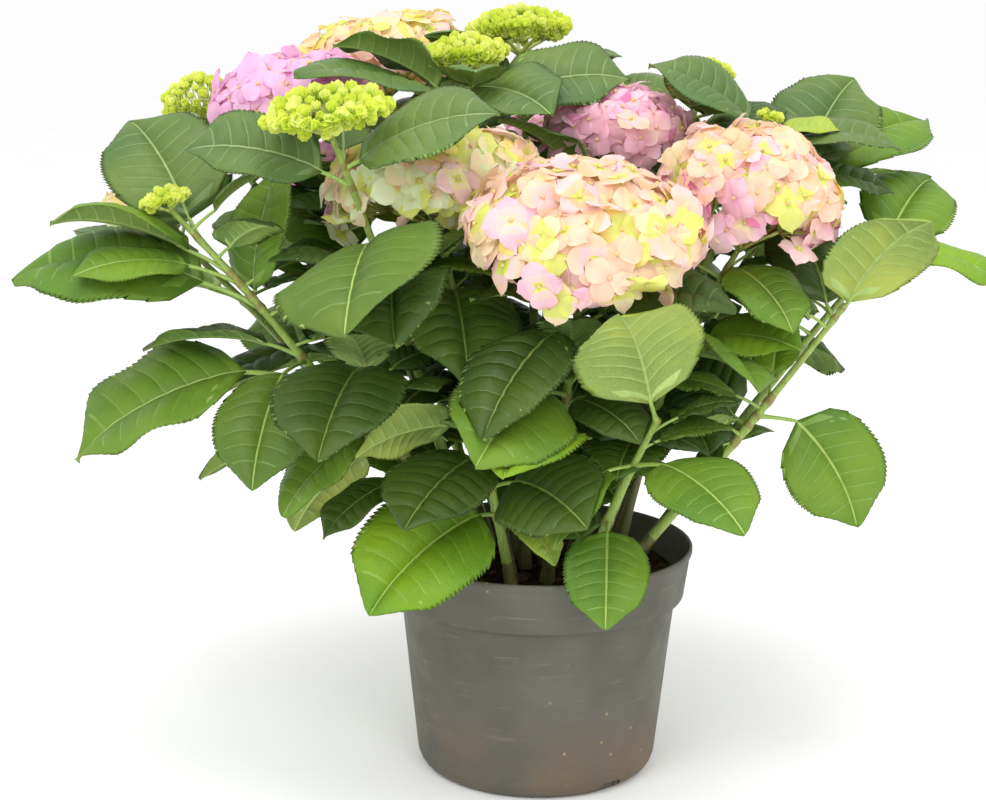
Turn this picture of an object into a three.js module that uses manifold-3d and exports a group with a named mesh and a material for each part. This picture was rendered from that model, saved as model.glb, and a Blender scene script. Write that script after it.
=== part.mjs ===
// A potted mophead hydrangea: a nursery pot, its root ball, canes that fan out of it,
// a leafy mass on every cane and a flower head on most of them.
// Millimetres, +Z up, origin at the centre of the pot's flat underside.

import * as THREE from 'three';
import { mergeVertices } from 'three/addons/utils/BufferGeometryUtils.js';
import Module from 'manifold-3d';

const wasm = await Module();
wasm.setup();

// ---------------------------------------------------------------- driving sizes

const SEED = 41;
const GAP = 0.3; // between pieces that rest on each other
const WELD = 1e-4; // corners closer than this are one
const SLACK = 1; // how far the root ball keeps off the corners inside the pot

const POT = {
  height: 179, rimRadius: 120, lipRadius: 114, lipBottom: 140, bodyTop: 136, bodyRadius: 107,
  footRadius: 85, heelRadius: 94, heelHeight: 14, wall: 2.4, floor: 3, heelEdge: 4, segments: 40,
};
const NOTCH = { width: 21, height: 9, depth: 14, first: -51, count: 3 };
const SOIL_TOP = 154;

const CANE = { footRadius: 4.6, flare: 1.5, flareShare: 1 / 9, tipRadius: 2.1, sides: 5, steps: 5 };
const SLEEVE = { steps: 8, sides: 4 }; // the room kept free around a whole stem
// A leaf's stalk rises by half as much as its blade, and 24 degrees more.
const STALK = { radius: 1.6, length: 26, lift: 24, follow: 0.5 };
const STEM_END = 0.955; // share of the shoot where the leafy stem hands over to the flower stalk
const SMALL_HEAD = 40; // flower heads under this radius stay on their leafy stem

const LEAF = {
  widthShare: 0.8, thickness: 2.2, droop: 34, fold: 7, stations: [0.09, 0.42, 0.78], clearance: 1.6,
  baseCurve: 0.5, tipCurve: 0.62,
};
// Pairs of leaves that grow by rule, from just above the split to near the top.
const PAIR = {
  above: 0.04, last: 0.9, lowLength: 120, highLength: 88, firstTurn: 50, turnStep: 90, lowRise: -14,
  highRise: 16, lean: 30, single: 0.5,
};
const VARY = { turn: 40, rise: 24, stalk: [0.8, 0.5], length: [0.85, 0.25], roll: 20 };
const HEAD = {
  stalk: 0.8, smallStalk: 0.6, upright: 1.6, dip: 0.87, rays: 5, rayRadius: 1.8, rayTaper: 0.8,
  raySpread: 0.5, raySunk: 2,
};

// Colours of the sub-parts.
const FINISH = {
  pot: { color: 0x605e58, roughness: 0.55 },
  soil: { color: 0x33251c, roughness: 0.95 },
  cane: { color: 0x8a9a4e, roughness: 0.6 },
  leaf: { color: 0x4f8a38, roughness: 0.5 },
  peach: { color: 0xf2cfae, roughness: 0.7 },
  cream: { color: 0xe9ecb0, roughness: 0.7 },
  pink: { color: 0xee9fc8, roughness: 0.7 },
  lilac: { color: 0xec9ad4, roughness: 0.7 },
  lime: { color: 0xc3dc58, roughness: 0.7 },
};

// One row a shoot. foot: turn in degrees and distance from the pot's axis. tip: where the flower
// stalk forks, or the shoot's end. reach, lift: how far out and up the bend lies. head: flower head's
// kind, radius, colour and height for its width. split: share of the shoot where the leafy mass takes
// over from the cane.
// leaves: share of the shoot, turn, rise (degrees), length of stalk, length of blade, roll.
// pairs: further pairs of leaves between the split and the top.
const SHOOTS = [
  { name: 'front', foot: [-78, 34], tip: [27, -154, 407], reach: 0.45, lift: 0.55, split: 0.3,
    head: ['mop', 82, 'peach', 0.56], pairs: 3,
    leaves: [[0.83, -126, -38, 26, 100, 0], [0.43, -106, 0, 40, 108, 0], [0.9, 165, 0, 10, 70, 0],
      [0.6, -35, -30, 14, 66, 10]] },
  { name: 'right', foot: [-32, 46], tip: [143, -64, 420], reach: 0.4, lift: 0.55, split: 0.36,
    head: ['mop', 67, 'peach', 0.74], pairs: 3,
    leaves: [[0.93, -57, -29, 12, 76, 5], [0.69, -35, 0, 20, 80, 22], [0.62, -146, -13, 16, 70, 0],
      [0.87, 25, -12, 18, 88, 10]] },
  { name: 'middle', foot: [70, 14], tip: [53, 42, 469], reach: 0.3, lift: 0.6, split: 0.3,
    head: ['mop', 59, 'pink', 0.58], pairs: 4, leaves: [] },
  { name: 'left_front', foot: [-120, 40], tip: [-76, -54, 430], reach: 0.4, lift: 0.5, split: 0.28,
    head: ['mop', 80, 'cream', 0.54], pairs: 3,
    leaves: [[0.83, -103, -30, 8, 104, 0], [0.62, -70, -20, 24, 84, -10]] },
  { name: 'left', foot: [172, 44], tip: [-193, 56, 486], reach: 0.4, lift: 0.55, split: 0.34,
    head: ['mop', 63, 'lilac', 0.58], pairs: 3,
    leaves: [[0.82, -118, 4, 8, 88, -10]] },
  { name: 'back_left_top', foot: [128, 32], tip: [-128, 150, 514], reach: 0.35, lift: 0.6, split: 0.34,
    head: ['mop', 72, 'cream', 0.5], pairs: 4, leaves: [] },
  { name: 'fork', foot: [-166, 48], tip: [-145, -143, 505], reach: 0.45, lift: 0.55, split: 0.34,
    head: ['bud', 48, 'lime', 0.4], pairs: 1,
    leaves: [[0.88, -177, 9, 23, 98, -30], [0.92, -11, 19, 12, 106, 28], [0.74, -92, -16, 34, 146, 22],
      [0.62, 130, -20, 24, 96, -15]] },
  { name: 'top', foot: [150, 12], tip: [-60, 26, 540], reach: 0.3, lift: 0.6, split: 0.34,
    head: ['bud', 39, 'lime', 0.46], pairs: 3,
    leaves: [[0.9, 30, 25, 24, 100, 34], [0.87, -150, 12, 30, 128, -8], [0.95, -48, -9, 6, 90, 22],
      [0.93, 160, 2, 14, 74, -20]] },
  { name: 'crown', foot: [88, 40], tip: [-20, 112, 551], reach: 0.3, lift: 0.6, split: 0.34,
    head: ['bud', 46, 'lime', 0.44], pairs: 4,
    leaves: [[0.9, 50, 8, 20, 96, 0]] },
  { name: 'far_left', foot: [156, 62], tip: [-277, 128, 490], reach: 0.4, lift: 0.6, split: 0.36,
    head: ['bud', 34, 'lime', 0.8], pairs: 3,
    leaves: [[0.86, -175, -3, 20, 92, -12]] },
  { name: 'left_low', foot: [-168, 62], tip: [-268, -83, 446], reach: 0.5, lift: 0.6, split: 0.42,
    head: ['bud', 23, 'lime', 0.46], pairs: 0,
    leaves: [[0.9, 128, 44, 22, 112, -25], [0.8, 178, 11, 34, 106, 12], [0.7, -182, 8, 46, 146, -18],
      [0.77, -158, 5, 40, 86, -12], [0.73, 60, 60, 6, 97, -20], [0.49, -168, -26, 58, 144, -18],
      [0.55, -105, -50, 44, 96, 0], [0.56, 178, -4, 28, 96, 8]] },
  { name: 'right_back', foot: [42, 34], tip: [124, 98, 526], reach: 0.6, lift: 0.55, split: 0.36,
    head: ['bud', 30, 'lime', 0.5], pairs: 3,
    leaves: [[0.95, 150, 10, 16, 78, -15], [0.92, -60, -4, 14, 84, 0]] },
  { name: 'small', foot: [8, 60], tip: [169, 10, 504], reach: 0.4, lift: 0.6, split: 0.36,
    head: ['bud', 13, 'lime', 0.5], pairs: 3,
    leaves: [[0.92, 0, -4, 26, 88, 12], [0.81, 0, -9, 44, 80, 12], [0.97, 160, 40, 14, 88, -20],
      [0.95, -14, 24, 14, 48, 15]] },
  { name: 'far_left_back', foot: [140, 80], tip: [-318, 106, 418], reach: 0.5, lift: 0.6, split: 0.26,
    head: ['mop', 36, 'cream', 0.56], pairs: 4,
    leaves: [[0.88, 150, -5, 20, 100, 0]] },
  { name: 'arch', foot: [-42, 68], tip: [222, -58, 378], reach: 0.5, lift: 0.45, split: 0.36,
    head: null, pairs: 0,
    leaves: [[0.985, -60, 56, 8, 98, -25], [0.95, 120, 50, 16, 88, 0], [0.6, 170, 4, 14, 80, -30],
      [0.64, -6, -59, 30, 94, 75], [0.69, 77, 32, 26, 44, 0], [0.55, -160, -60, 10, 44, 0]] },
  { name: 'front_low', foot: [-60, 64], tip: [82, -148, 310], reach: 0.4, lift: 0.5, split: 0.36,
    head: null, pairs: 0,
    leaves: [[0.985, -117, 42, 24, 112, 28], [0.74, -52, -20, 32, 92, 12], [0.74, -135, -42, 28, 72, 10],
      [0.42, -92, -54, 22, 76, 0]] },
  { name: 'left_skirt', foot: [-148, 72], tip: [-126, -112, 338], reach: 0.45, lift: 0.5, split: 0.4,
    head: null, pairs: 1,
    leaves: [[0.985, -100, -22, 18, 114, 0], [0.95, 70, 10, 20, 96, 0], [0.7, -138, -52, 26, 84, -5],
      [0.6, 172, -40, 30, 84, 35], [0.48, -176, -14, 20, 70, 0]] },
  { name: 'front_skirt', foot: [-106, 68], tip: [-46, -104, 292], reach: 0.4, lift: 0.5, split: 0.36,
    head: null, pairs: 1,
    leaves: [[0.985, -158, -14, 20, 76, 50], [0.82, -120, -20, 14, 98, -8], [0.49, -139, -29, 16, 118, -30],
      [0.5, -40, -36, 16, 52, 0], [0.75, 20, -20, 20, 80, 0]] },
  { name: 'back', foot: [104, 66], tip: [20, 252, 436], reach: 0.45, lift: 0.6, split: 0.22,
    head: ['mop', 62, 'pink', 0.58], pairs: 4, leaves: [] },
  { name: 'back_right', foot: [58, 62], tip: [164, 212, 426], reach: 0.45, lift: 0.6, split: 0.22,
    head: ['mop', 60, 'peach', 0.58], pairs: 4, leaves: [] },
  { name: 'far_right', foot: [16, 78], tip: [262, 20, 408], reach: 0.5, lift: 0.55, split: 0.62,
    head: null, pairs: 2,
    leaves: [[0.985, 58, 26, 18, 92, 25], [0.985, -12, -10, 16, 84, 10]] },
  { name: 'right_rear', foot: [34, 66], tip: [196, 52, 450], reach: 0.4, lift: 0.6, split: 0.34,
    head: null, pairs: 2,
    leaves: [[0.985, 55, 40, 24, 108, 22], [0.9, 120, 52, 30, 84, -20], [0.95, 4, 34, 42, 118, 14]] },
  { name: 'back_left', foot: [122, 72], tip: [-168, 238, 416], reach: 0.45, lift: 0.6, split: 0.22,
    head: ['mop', 55, 'lilac', 0.58], pairs: 4, leaves: [] },
];

const LAST = 99; // pairs made by rule grow after every leaf that is listed

// Turns and lifts tried in order, in degrees, where a leaf would touch what is already there.
const NUDGES = [[0, 0], [0, 8], [0, -8], [9, 0], [-9, 0], [12, 12], [-12, 12], [12, -12], [-12, -12],
  [0, 20], [0, -20], [22, 0], [-22, 0], [30, 16], [-30, 16], [30, -16], [-30, -16]];

// ---------------------------------------------------------------- small helpers

const rad = (degrees) => degrees * Math.PI / 180;

/** A seeded stream of numbers from 0 to 1. */
function stream(seed) {
  let state = seed >>> 0;
  return () => {
    state = (state + 0x6D2B79F5) >>> 0;
    let mixed = Math.imul(state ^ (state >>> 15), state | 1);
    mixed = (mixed + Math.imul(mixed ^ (mixed >>> 7), mixed | 61)) ^ mixed;
    return ((mixed ^ (mixed >>> 14)) >>> 0) / 4294967296;
  };
}

/** Unit vector from a turn about Z and a rise above level, in degrees. */
function heading(turn, rise) {
  const level = Math.cos(rad(rise));
  return new THREE.Vector3(level * Math.cos(rad(turn)), level * Math.sin(rad(turn)), Math.sin(rad(rise)));
}

/** A closed solid from points and triangles. */
function solid(net) {
  const mesh = new wasm.Mesh({
    numProp: 3,
    vertProperties: new Float32Array(net.points.flatMap((p) => [p.x, p.y, p.z])),
    triVerts: new Uint32Array(net.faces.flat()),
  });
  return new wasm.Manifold(mesh);
}

/** A geometry with its shared corners merged. */
function welded(geometry) {
  const bare = geometry.clone();
  bare.deleteAttribute('normal');
  bare.deleteAttribute('uv');
  return mergeVertices(bare, WELD);
}

/** A closed solid from a three.js geometry. */
function solidOf(geometry) {
  const merged = welded(geometry);
  return new wasm.Manifold(new wasm.Mesh({
    numProp: 3,
    vertProperties: new Float32Array(merged.attributes.position.array),
    triVerts: new Uint32Array(merged.index.array),
  }));
}

const fuse = (solids) => solids.reduce((whole, piece) => whole.add(piece));

// ---------------------------------------------------------------- shoots

/** The shoot's bend as a quadratic curve from the soil to the tip. */
function shootCurve(shoot) {
  const [turn, out] = shoot.foot;
  const foot = new THREE.Vector3(out * Math.cos(rad(turn)), out * Math.sin(rad(turn)), SOIL_TOP + GAP);
  const tip = new THREE.Vector3(...shoot.tip);
  const bend = new THREE.Vector3(
    foot.x + (tip.x - foot.x) * shoot.reach,
    foot.y + (tip.y - foot.y) * shoot.reach,
    foot.z + (tip.z - foot.z) * shoot.lift,
  );
  return new THREE.QuadraticBezierCurve3(foot, bend, tip);
}

const caneRadius = (share) => THREE.MathUtils.lerp(CANE.footRadius, CANE.tipRadius, share)
  + CANE.flare * Math.max(0, 1 - share / CANE.flareShare);

/** Points and triangles of a closed skin over rings of points, ended by a tip or a flat cap. */
function loft(rings, tip = null) {
  const sides = rings[0].length;
  const last = (rings.length - 1) * sides;
  const net = { points: rings.flat(), faces: [] };
  for (let low = 0; low < last; low += sides) {
    for (let side = 0; side < sides; side += 1) {
      const next = (side + 1) % sides;
      const high = low + sides;
      net.faces.push([low + side, low + next, high + next], [low + side, high + next, high + side]);
    }
  }
  for (let side = 1; side < sides - 1; side += 1) {
    net.faces.push([0, side + 1, side]);
    if (!tip) net.faces.push([last, last + side, last + side + 1]);
  }
  if (tip) {
    const end = net.points.push(tip) - 1;
    for (let side = 0; side < sides; side += 1) net.faces.push([last + side, last + (side + 1) % sides, end]);
  }
  return net;
}

/** A tapering limb whose rings stand square to the given tangents. */
function limb(points, tangents, radii, sides) {
  let across = new THREE.Vector3(1, 0, 0);
  if (Math.abs(tangents[0].x) > 0.8) across.set(0, 1, 0);
  const rings = points.map((point, ring) => {
    const along = tangents[ring];
    across = across.clone().addScaledVector(along, -across.dot(along)).normalize();
    const other = along.clone().cross(across);
    return Array.from({ length: sides }, (_, side) => {
      const angle = 2 * Math.PI * side / sides;
      return point.clone()
        .addScaledVector(across, radii[ring] * Math.cos(angle))
        .addScaledVector(other, radii[ring] * Math.sin(angle));
    });
  });
  return loft(rings);
}

/** A stretch of a shoot between two shares of it, as points, tangents and radii. */
function stretch(curve, from, to, steps, grow = 0) {
  const parts = { points: [], tangents: [], radii: [] };
  for (let step = 0; step <= steps; step += 1) {
    const share = from + (to - from) * step / steps;
    const tangent = curve.getTangent(share);
    const point = curve.getPoint(share);
    if (step === 0 && from > 0) point.addScaledVector(tangent, GAP);
    if (share === 0) tangent.set(0, 0, 1);
    parts.points.push(point);
    parts.tangents.push(tangent);
    parts.radii.push(caneRadius(share) + grow);
  }
  return parts;
}

function stretchNet(curve, from, to, steps, sides, grow = 0) {
  const parts = stretch(curve, from, to, steps, grow);
  return limb(parts.points, parts.tangents, parts.radii, sides);
}

// ---------------------------------------------------------------- leaves

/** Half width of a blade at a share of its length, as a share of its widest half. */
function outline(share) {
  const { baseCurve, tipCurve } = LEAF;
  const shape = (s) => (s ** baseCurve) * ((1 - s) ** tipCurve);
  return shape(share) / shape(baseCurve / (baseCurve + tipCurve));
}

/** Where a leaf's stalk ends and its blade starts. */
function bladeBase(leaf) {
  const stalkRise = leaf.rise * STALK.follow + STALK.lift;
  return leaf.node.clone().addScaledVector(heading(leaf.turn, stalkRise), leaf.stalk);
}

/** Midrib point, side vector and face normal of a blade at a share of its length. */
function bladeFrame(leaf, share) {
  const start = rad(leaf.rise + LEAF.droop / 2);
  const droop = rad(LEAF.droop);
  const now = start - droop * share;
  const out = leaf.length * (Math.sin(start) - Math.sin(now)) / droop;
  const up = leaf.length * (Math.cos(now) - Math.cos(start)) / droop;
  const level = heading(leaf.turn, 0);
  const point = leaf.base.clone().addScaledVector(level, out);
  point.z += up;
  const side = new THREE.Vector3(-level.y, level.x, 0);
  const normal = level.clone().multiplyScalar(-Math.sin(now));
  normal.z = Math.cos(now);
  const roll = rad(leaf.roll);
  return {
    point,
    side: side.clone().multiplyScalar(Math.cos(roll)).addScaledVector(normal, Math.sin(roll)),
    normal: normal.clone().multiplyScalar(Math.cos(roll)).addScaledVector(side, -Math.sin(roll)),
  };
}

/** A leaf's four-sided rings: stalk in the stem, stalk's end, then the lens-shaped, folded blade. */
function leafRings(leaf, grow = 0) {
  const half = leaf.length * LEAF.widthShare / 2;
  const foot = bladeFrame(leaf, 0);
  const square = (point, radius) => [[foot.side, radius], [foot.normal, radius], [foot.side, -radius],
    [foot.normal, -radius]].map(([arm, reach]) => point.clone().addScaledVector(arm, reach));
  const stations = LEAF.stations.map((share) => {
    const { point, side, normal } = bladeFrame(leaf, share);
    const reach = half * outline(share) + grow;
    const lift = reach * Math.sin(rad(LEAF.fold));
    const edge = (way) => point.clone()
      .addScaledVector(side, way * reach * Math.cos(rad(LEAF.fold))).addScaledVector(normal, lift);
    const face = (way) => point.clone().addScaledVector(normal, way * (LEAF.thickness / 2 + grow));
    return [edge(1), face(1), edge(-1), face(-1)];
  });
  return [square(leaf.node, STALK.radius + grow), square(leaf.base, STALK.radius + grow), ...stations];
}

const leafTip = (leaf) => bladeFrame(leaf, 1).point;
const leafNet = (leaf) => loft(leafRings(leaf), leafTip(leaf));
const bladeNet = (leaf, grow) => loft(leafRings(leaf, grow).slice(1), leafTip(leaf));
const stalkNet = (leaf, grow) => loft(leafRings(leaf, grow).slice(0, 2));

// ---------------------------------------------------------------- flower heads

/** Centre, axis and sizes of a shoot's flower head. */
function headOf(shoot) {
  const [, radius, tint, flat] = shoot.head;
  const axis = shoot.curve.getTangent(1).add(new THREE.Vector3(0, 0, HEAD.upright)).normalize();
  const tip = shoot.curve.getPoint(1);
  const stalk = flat * (radius < SMALL_HEAD ? HEAD.smallStalk : HEAD.stalk);
  const centre = tip.clone().addScaledVector(axis, radius * stalk);
  return { radius, tint, axis, tip, flat, centre };
}

/** A head as a dome of blunt bumps, one for each cluster of flowers. */
function headDome(head, dip = HEAD.dip) {
  const bump = [];
  const corners = new THREE.IcosahedronGeometry(1, 0).attributes.position;
  for (let i = 0; i < corners.count; i += 3) {
    const face = [0, 1, 2].map((j) => new THREE.Vector3().fromBufferAttribute(corners, i + j));
    bump.push(...face, face[0].clone().add(face[1]).add(face[2]).normalize());
  }
  const geometry = new THREE.IcosahedronGeometry(1, 2);
  const place = geometry.attributes.position;
  for (let i = 0; i < place.count; i += 1) {
    const point = new THREE.Vector3().fromBufferAttribute(place, i);
    if (!bump.some((top) => top.distanceTo(point) < 0.01)) point.multiplyScalar(dip);
    place.setXYZ(i, point.x, point.y, point.z);
  }
  geometry.scale(head.radius, head.radius, head.radius * head.flat);
  geometry.applyQuaternion(new THREE.Quaternion().setFromUnitVectors(new THREE.Vector3(0, 0, 1), head.axis));
  return geometry.translate(head.centre.x, head.centre.y, head.centre.z);
}

/** The rays that carry a head, from the fork into the underside of its ball. */
function rays(head) {
  const place = new THREE.Quaternion().setFromUnitVectors(new THREE.Vector3(0, 0, 1), head.axis);
  const out = head.radius * HEAD.raySpread;
  const nets = [];
  for (let ray = 0; ray < HEAD.rays; ray += 1) {
    const angle = 2 * Math.PI * ray / HEAD.rays;
    const end = new THREE.Vector3(out * Math.cos(angle), out * Math.sin(angle), -out * head.flat);
    end.applyQuaternion(place).add(head.centre);
    const start = head.tip.clone().addScaledVector(head.axis, -HEAD.raySunk);
    const along = end.clone().sub(start).normalize();
    nets.push(limb([start, end], [along, along], [HEAD.rayRadius, HEAD.rayRadius * HEAD.rayTaper], 3));
  }
  return nets;
}

/** A whole flower head with its stalk from the given share of the shoot. */
function headSolid(shoot, from) {
  const stalk = solid(stretchNet(shoot.curve, from, 1, 2, CANE.sides));
  return fuse([stalk, solidOf(headDome(shoot.head)), ...rays(shoot.head).map(solid)]);
}

// ---------------------------------------------------------------- what touches what

/** Points, faces, edges and box of a shape, ready for the touching test. */
function shape(net) {
  const edges = new Map();
  net.faces.forEach(([a, b, c]) => [[a, b], [b, c], [c, a]].forEach(([p, q]) => {
    edges.set(`${Math.min(p, q)},${Math.max(p, q)}`, [p, q]);
  }));
  return { ...net, edges: [...edges.values()], box: new THREE.Box3().setFromPoints(net.points) };
}

/** Whether the segment p-q passes through the triangle a-b-c. */
function pierces(p, q, a, b, c) {
  const along = q.clone().sub(p);
  const ab = b.clone().sub(a);
  const ac = c.clone().sub(a);
  const across = along.clone().cross(ac);
  const facing = ab.dot(across);
  if (Math.abs(facing) < 1e-12) return false;
  const from = p.clone().sub(a);
  const u = from.dot(across) / facing;
  if (u < 0 || u > 1) return false;
  const other = from.cross(ab);
  const v = along.dot(other) / facing;
  if (v < 0 || u + v > 1) return false;
  const t = ac.dot(other) / facing;
  return t >= 0 && t <= 1;
}

function touches(one, two) {
  if (!one.box.intersectsBox(two.box)) return false;
  return [[one, two], [two, one]].some(([lines, plates]) => lines.edges.some(([p, q]) => {
    const start = lines.points[p];
    const end = lines.points[q];
    const { points, faces } = plates;
    return faces.some(([a, b, c]) => pierces(start, end, points[a], points[b], points[c]));
  }));
}

// ---------------------------------------------------------------- growing the shrub

/** The leaves of a shoot in the order they are tried: named ones, then pairs that lean outwards. */
function wantedLeaves(shoot, random) {
  const wanted = shoot.leaves.map(([share, turn, rise, stalk, length, roll]) => (
    { share, turn, rise, stalk, length, roll }));
  const [footTurn] = shoot.foot;
  const vary = (range) => (random() - 0.5) * range;
  for (let pair = 0; pair < shoot.pairs; pair += 1) {
    const height = shoot.pairs === 1 ? PAIR.single : pair / (shoot.pairs - 1);
    const share = THREE.MathUtils.lerp(shoot.split + PAIR.above, PAIR.last, height);
    const node = shoot.curve.getPoint(share);
    for (const side of [0, 180]) {
      const turn = footTurn + PAIR.firstTurn + PAIR.turnStep * pair + side + vary(VARY.turn);
      wanted.push({
        share,
        turn,
        rise: THREE.MathUtils.lerp(PAIR.lowRise, PAIR.highRise, height) + vary(VARY.rise),
        stalk: STALK.length * (VARY.stalk[0] + random() * VARY.stalk[1]),
        length: THREE.MathUtils.lerp(PAIR.lowLength, PAIR.highLength, height)
          * (VARY.length[0] + random() * VARY.length[1]),
        roll: vary(VARY.roll) - PAIR.lean * Math.sin(Math.atan2(node.y, node.x) - rad(turn)),
      });
    }
  }
  return wanted;
}

/** Adds each wanted leaf where it touches nothing, after a few tries. */
function growLeaves(shoots) {
  const random = stream(SEED);
  const up = new THREE.Vector3(0, 0, 1);
  const around = POT.rimRadius + LEAF.clearance;
  const top = new THREE.Vector3(0, 0, POT.height + LEAF.clearance);
  const drum = limb([new THREE.Vector3(), top], [up, up], [around, around], POT.segments);
  const taken = [{ owner: 'pot', ...shape(drum) }];
  shoots.forEach((shoot) => {
    shoot.leafList = [];
    const stem = stretchNet(shoot.curve, 0, 1, SLEEVE.steps, SLEEVE.sides, LEAF.clearance);
    taken.push({ owner: shoot.name, ...shape(stem) });
    if (shoot.head) {
      const ball = welded(headDome(shoot.head, 1));
      const place = ball.attributes.position;
      const net = { points: [], faces: [] };
      for (let i = 0; i < place.count; i += 1) {
        net.points.push(new THREE.Vector3().fromBufferAttribute(place, i));
      }
      for (let i = 0; i < ball.index.count; i += 3) net.faces.push([...ball.index.array.slice(i, i + 3)]);
      taken.push({ owner: 'head', ...shape(net) });
    }
  });
  const queue = shoots.flatMap((shoot) => wantedLeaves(shoot, random).map((leaf, order) => (
    { shoot, leaf, turnToGrow: order < shoot.leaves.length ? order : LAST })));
  queue.sort((a, b) => a.turnToGrow - b.turnToGrow);
  queue.forEach(({ shoot, leaf }) => {
    for (const [turn, rise] of NUDGES) {
      const tried = { ...leaf, turn: leaf.turn + turn, rise: leaf.rise + rise };
      tried.node = shoot.curve.getPoint(tried.share);
      tried.base = bladeBase(tried);
      const plate = { owner: '', ...shape(bladeNet(tried, LEAF.clearance)) };
      const stalk = { owner: shoot.name, ...shape(stalkNet(tried, LEAF.clearance)) };
      const free = taken.every((other) => !touches(plate, other)
        && (other.owner === shoot.name || !touches(stalk, other)));
      if (!free) continue;
      shoot.leafList.push(tried);
      taken.push(plate, stalk);
      break;
    }
  });
}

// ---------------------------------------------------------------- pot and root ball

/** The pot: a tapering wall with a stepped rim, a flat floor and drain notches in its heel. */
function potSolid() {
  const inner = (radius) => radius - POT.wall;
  const profile = [
    [0, 0], [POT.footRadius, 0], [POT.heelRadius - POT.heelEdge, POT.heelEdge], [POT.heelRadius, POT.heelHeight],
    [POT.bodyRadius, POT.bodyTop], [POT.lipRadius, POT.lipBottom], [POT.rimRadius, POT.height],
    [inner(POT.rimRadius), POT.height], [inner(POT.lipRadius), POT.lipBottom + POT.wall],
    [inner(POT.bodyRadius), POT.bodyTop], [inner(POT.heelRadius), POT.heelHeight],
    [POT.footRadius, POT.floor], [0, POT.floor],
  ].map(([radius, z]) => new THREE.Vector2(radius, z));
  const shell = new THREE.LatheGeometry(profile, POT.segments).rotateX(Math.PI / 2);
  let pot = solidOf(shell);
  for (let i = 0; i < NOTCH.count; i += 1) {
    const cutter = new THREE.BoxGeometry(NOTCH.depth, NOTCH.width, NOTCH.height * 2);
    cutter.translate(POT.footRadius + NOTCH.depth / 2, 0, 0);
    cutter.rotateZ(rad(NOTCH.first + i * 360 / NOTCH.count));
    pot = pot.subtract(solidOf(cutter));
  }
  return pot;
}

/** The root ball fills the pot up to a little below its rim. */
function soilSolid() {
  const inside = (z) => {
    const share = (z - POT.heelHeight) / (POT.bodyTop - POT.heelHeight);
    return THREE.MathUtils.lerp(POT.heelRadius, POT.bodyRadius, share) - POT.wall - GAP;
  };
  const lipInside = POT.lipRadius - POT.wall - GAP;
  const profile = [
    [0, POT.floor + GAP], [POT.footRadius - SLACK, POT.floor + GAP],
    [inside(POT.heelHeight) - GAP, POT.heelHeight + SLACK], [inside(POT.bodyTop), POT.bodyTop],
    [lipInside - SLACK, POT.lipBottom + POT.wall + SLACK], [lipInside, SOIL_TOP], [0, SOIL_TOP],
  ].map(([radius, z]) => new THREE.Vector2(radius, z));
  return solidOf(new THREE.LatheGeometry(profile, POT.segments).rotateX(Math.PI / 2));
}

// ---------------------------------------------------------------- the scene graph

const group = new THREE.Group();

function addNode(name, piece, finish) {
  const mesh = piece.getMesh();
  const geometry = new THREE.BufferGeometry();
  geometry.setAttribute('position', new THREE.BufferAttribute(mesh.vertProperties, 3));
  geometry.setIndex(new THREE.BufferAttribute(mesh.triVerts, 1));
  const material = new THREE.MeshStandardMaterial({ ...finish, metalness: 0 });
  const node = new THREE.Mesh(geometry, material);
  node.name = name;
  group.add(node);
}

const shoots = SHOOTS.map((shoot) => ({ ...shoot, curve: shootCurve(shoot) }));
shoots.filter((shoot) => shoot.head).forEach((shoot) => { shoot.head = headOf(shoot); });
growLeaves(shoots);

addNode('pot', potSolid(), FINISH.pot);
addNode('root_ball', soilSolid(), FINISH.soil);

shoots.forEach((shoot) => {
  const { name, curve, head, split } = shoot;
  addNode(`cane_${name}`, solid(stretchNet(curve, 0, split, CANE.steps, CANE.sides)), FINISH.cane);

  const ownHead = head && head.radius >= SMALL_HEAD;
  const stem = solid(stretchNet(curve, split, ownHead ? STEM_END : 1, CANE.steps, CANE.sides));
  const leaves = shoot.leafList.map((leaf) => solid(leafNet(leaf)));
  const smallHead = head && !ownHead ? [solidOf(headDome(head))] : [];
  addNode(`foliage_${name}`, fuse([stem, ...leaves, ...smallHead]), FINISH.leaf);

  if (ownHead) addNode(`bloom_${name}`, headSolid(shoot, STEM_END), FINISH[head.tint]);
});

export default group;
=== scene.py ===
"""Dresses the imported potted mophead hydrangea: leaves, florets, stems, soil and pot.

The shoots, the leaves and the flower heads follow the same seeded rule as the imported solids,
carried on to teeth, veins, sepals and buds. The rule works in millimetres; MM turns them into
metres where a mesh is made.
"""

from itertools import product
from math import atan2, cos, exp, pi, radians, sin, sqrt, tau
from types import SimpleNamespace as Sizes

import bmesh
import bpy
import numpy as np
from mathutils import Matrix, Vector
from mathutils.bvhtree import BVHTree


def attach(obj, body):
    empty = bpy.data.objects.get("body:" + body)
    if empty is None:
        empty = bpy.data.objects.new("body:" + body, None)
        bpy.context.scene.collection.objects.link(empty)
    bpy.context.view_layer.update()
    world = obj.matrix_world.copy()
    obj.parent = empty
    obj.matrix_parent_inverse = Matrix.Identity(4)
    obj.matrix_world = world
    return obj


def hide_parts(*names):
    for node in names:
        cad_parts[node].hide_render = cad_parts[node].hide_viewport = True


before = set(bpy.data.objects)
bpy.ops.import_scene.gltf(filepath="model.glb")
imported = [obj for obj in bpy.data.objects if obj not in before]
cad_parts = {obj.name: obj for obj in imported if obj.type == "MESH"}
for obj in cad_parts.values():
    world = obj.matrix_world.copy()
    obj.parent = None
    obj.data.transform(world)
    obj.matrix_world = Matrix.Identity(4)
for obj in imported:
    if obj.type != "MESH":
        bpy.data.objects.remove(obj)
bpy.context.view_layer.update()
MM = 0.001
UP = np.array([0.0, 0.0, 1.0])


# ---- sizes of the solids' rule

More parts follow.
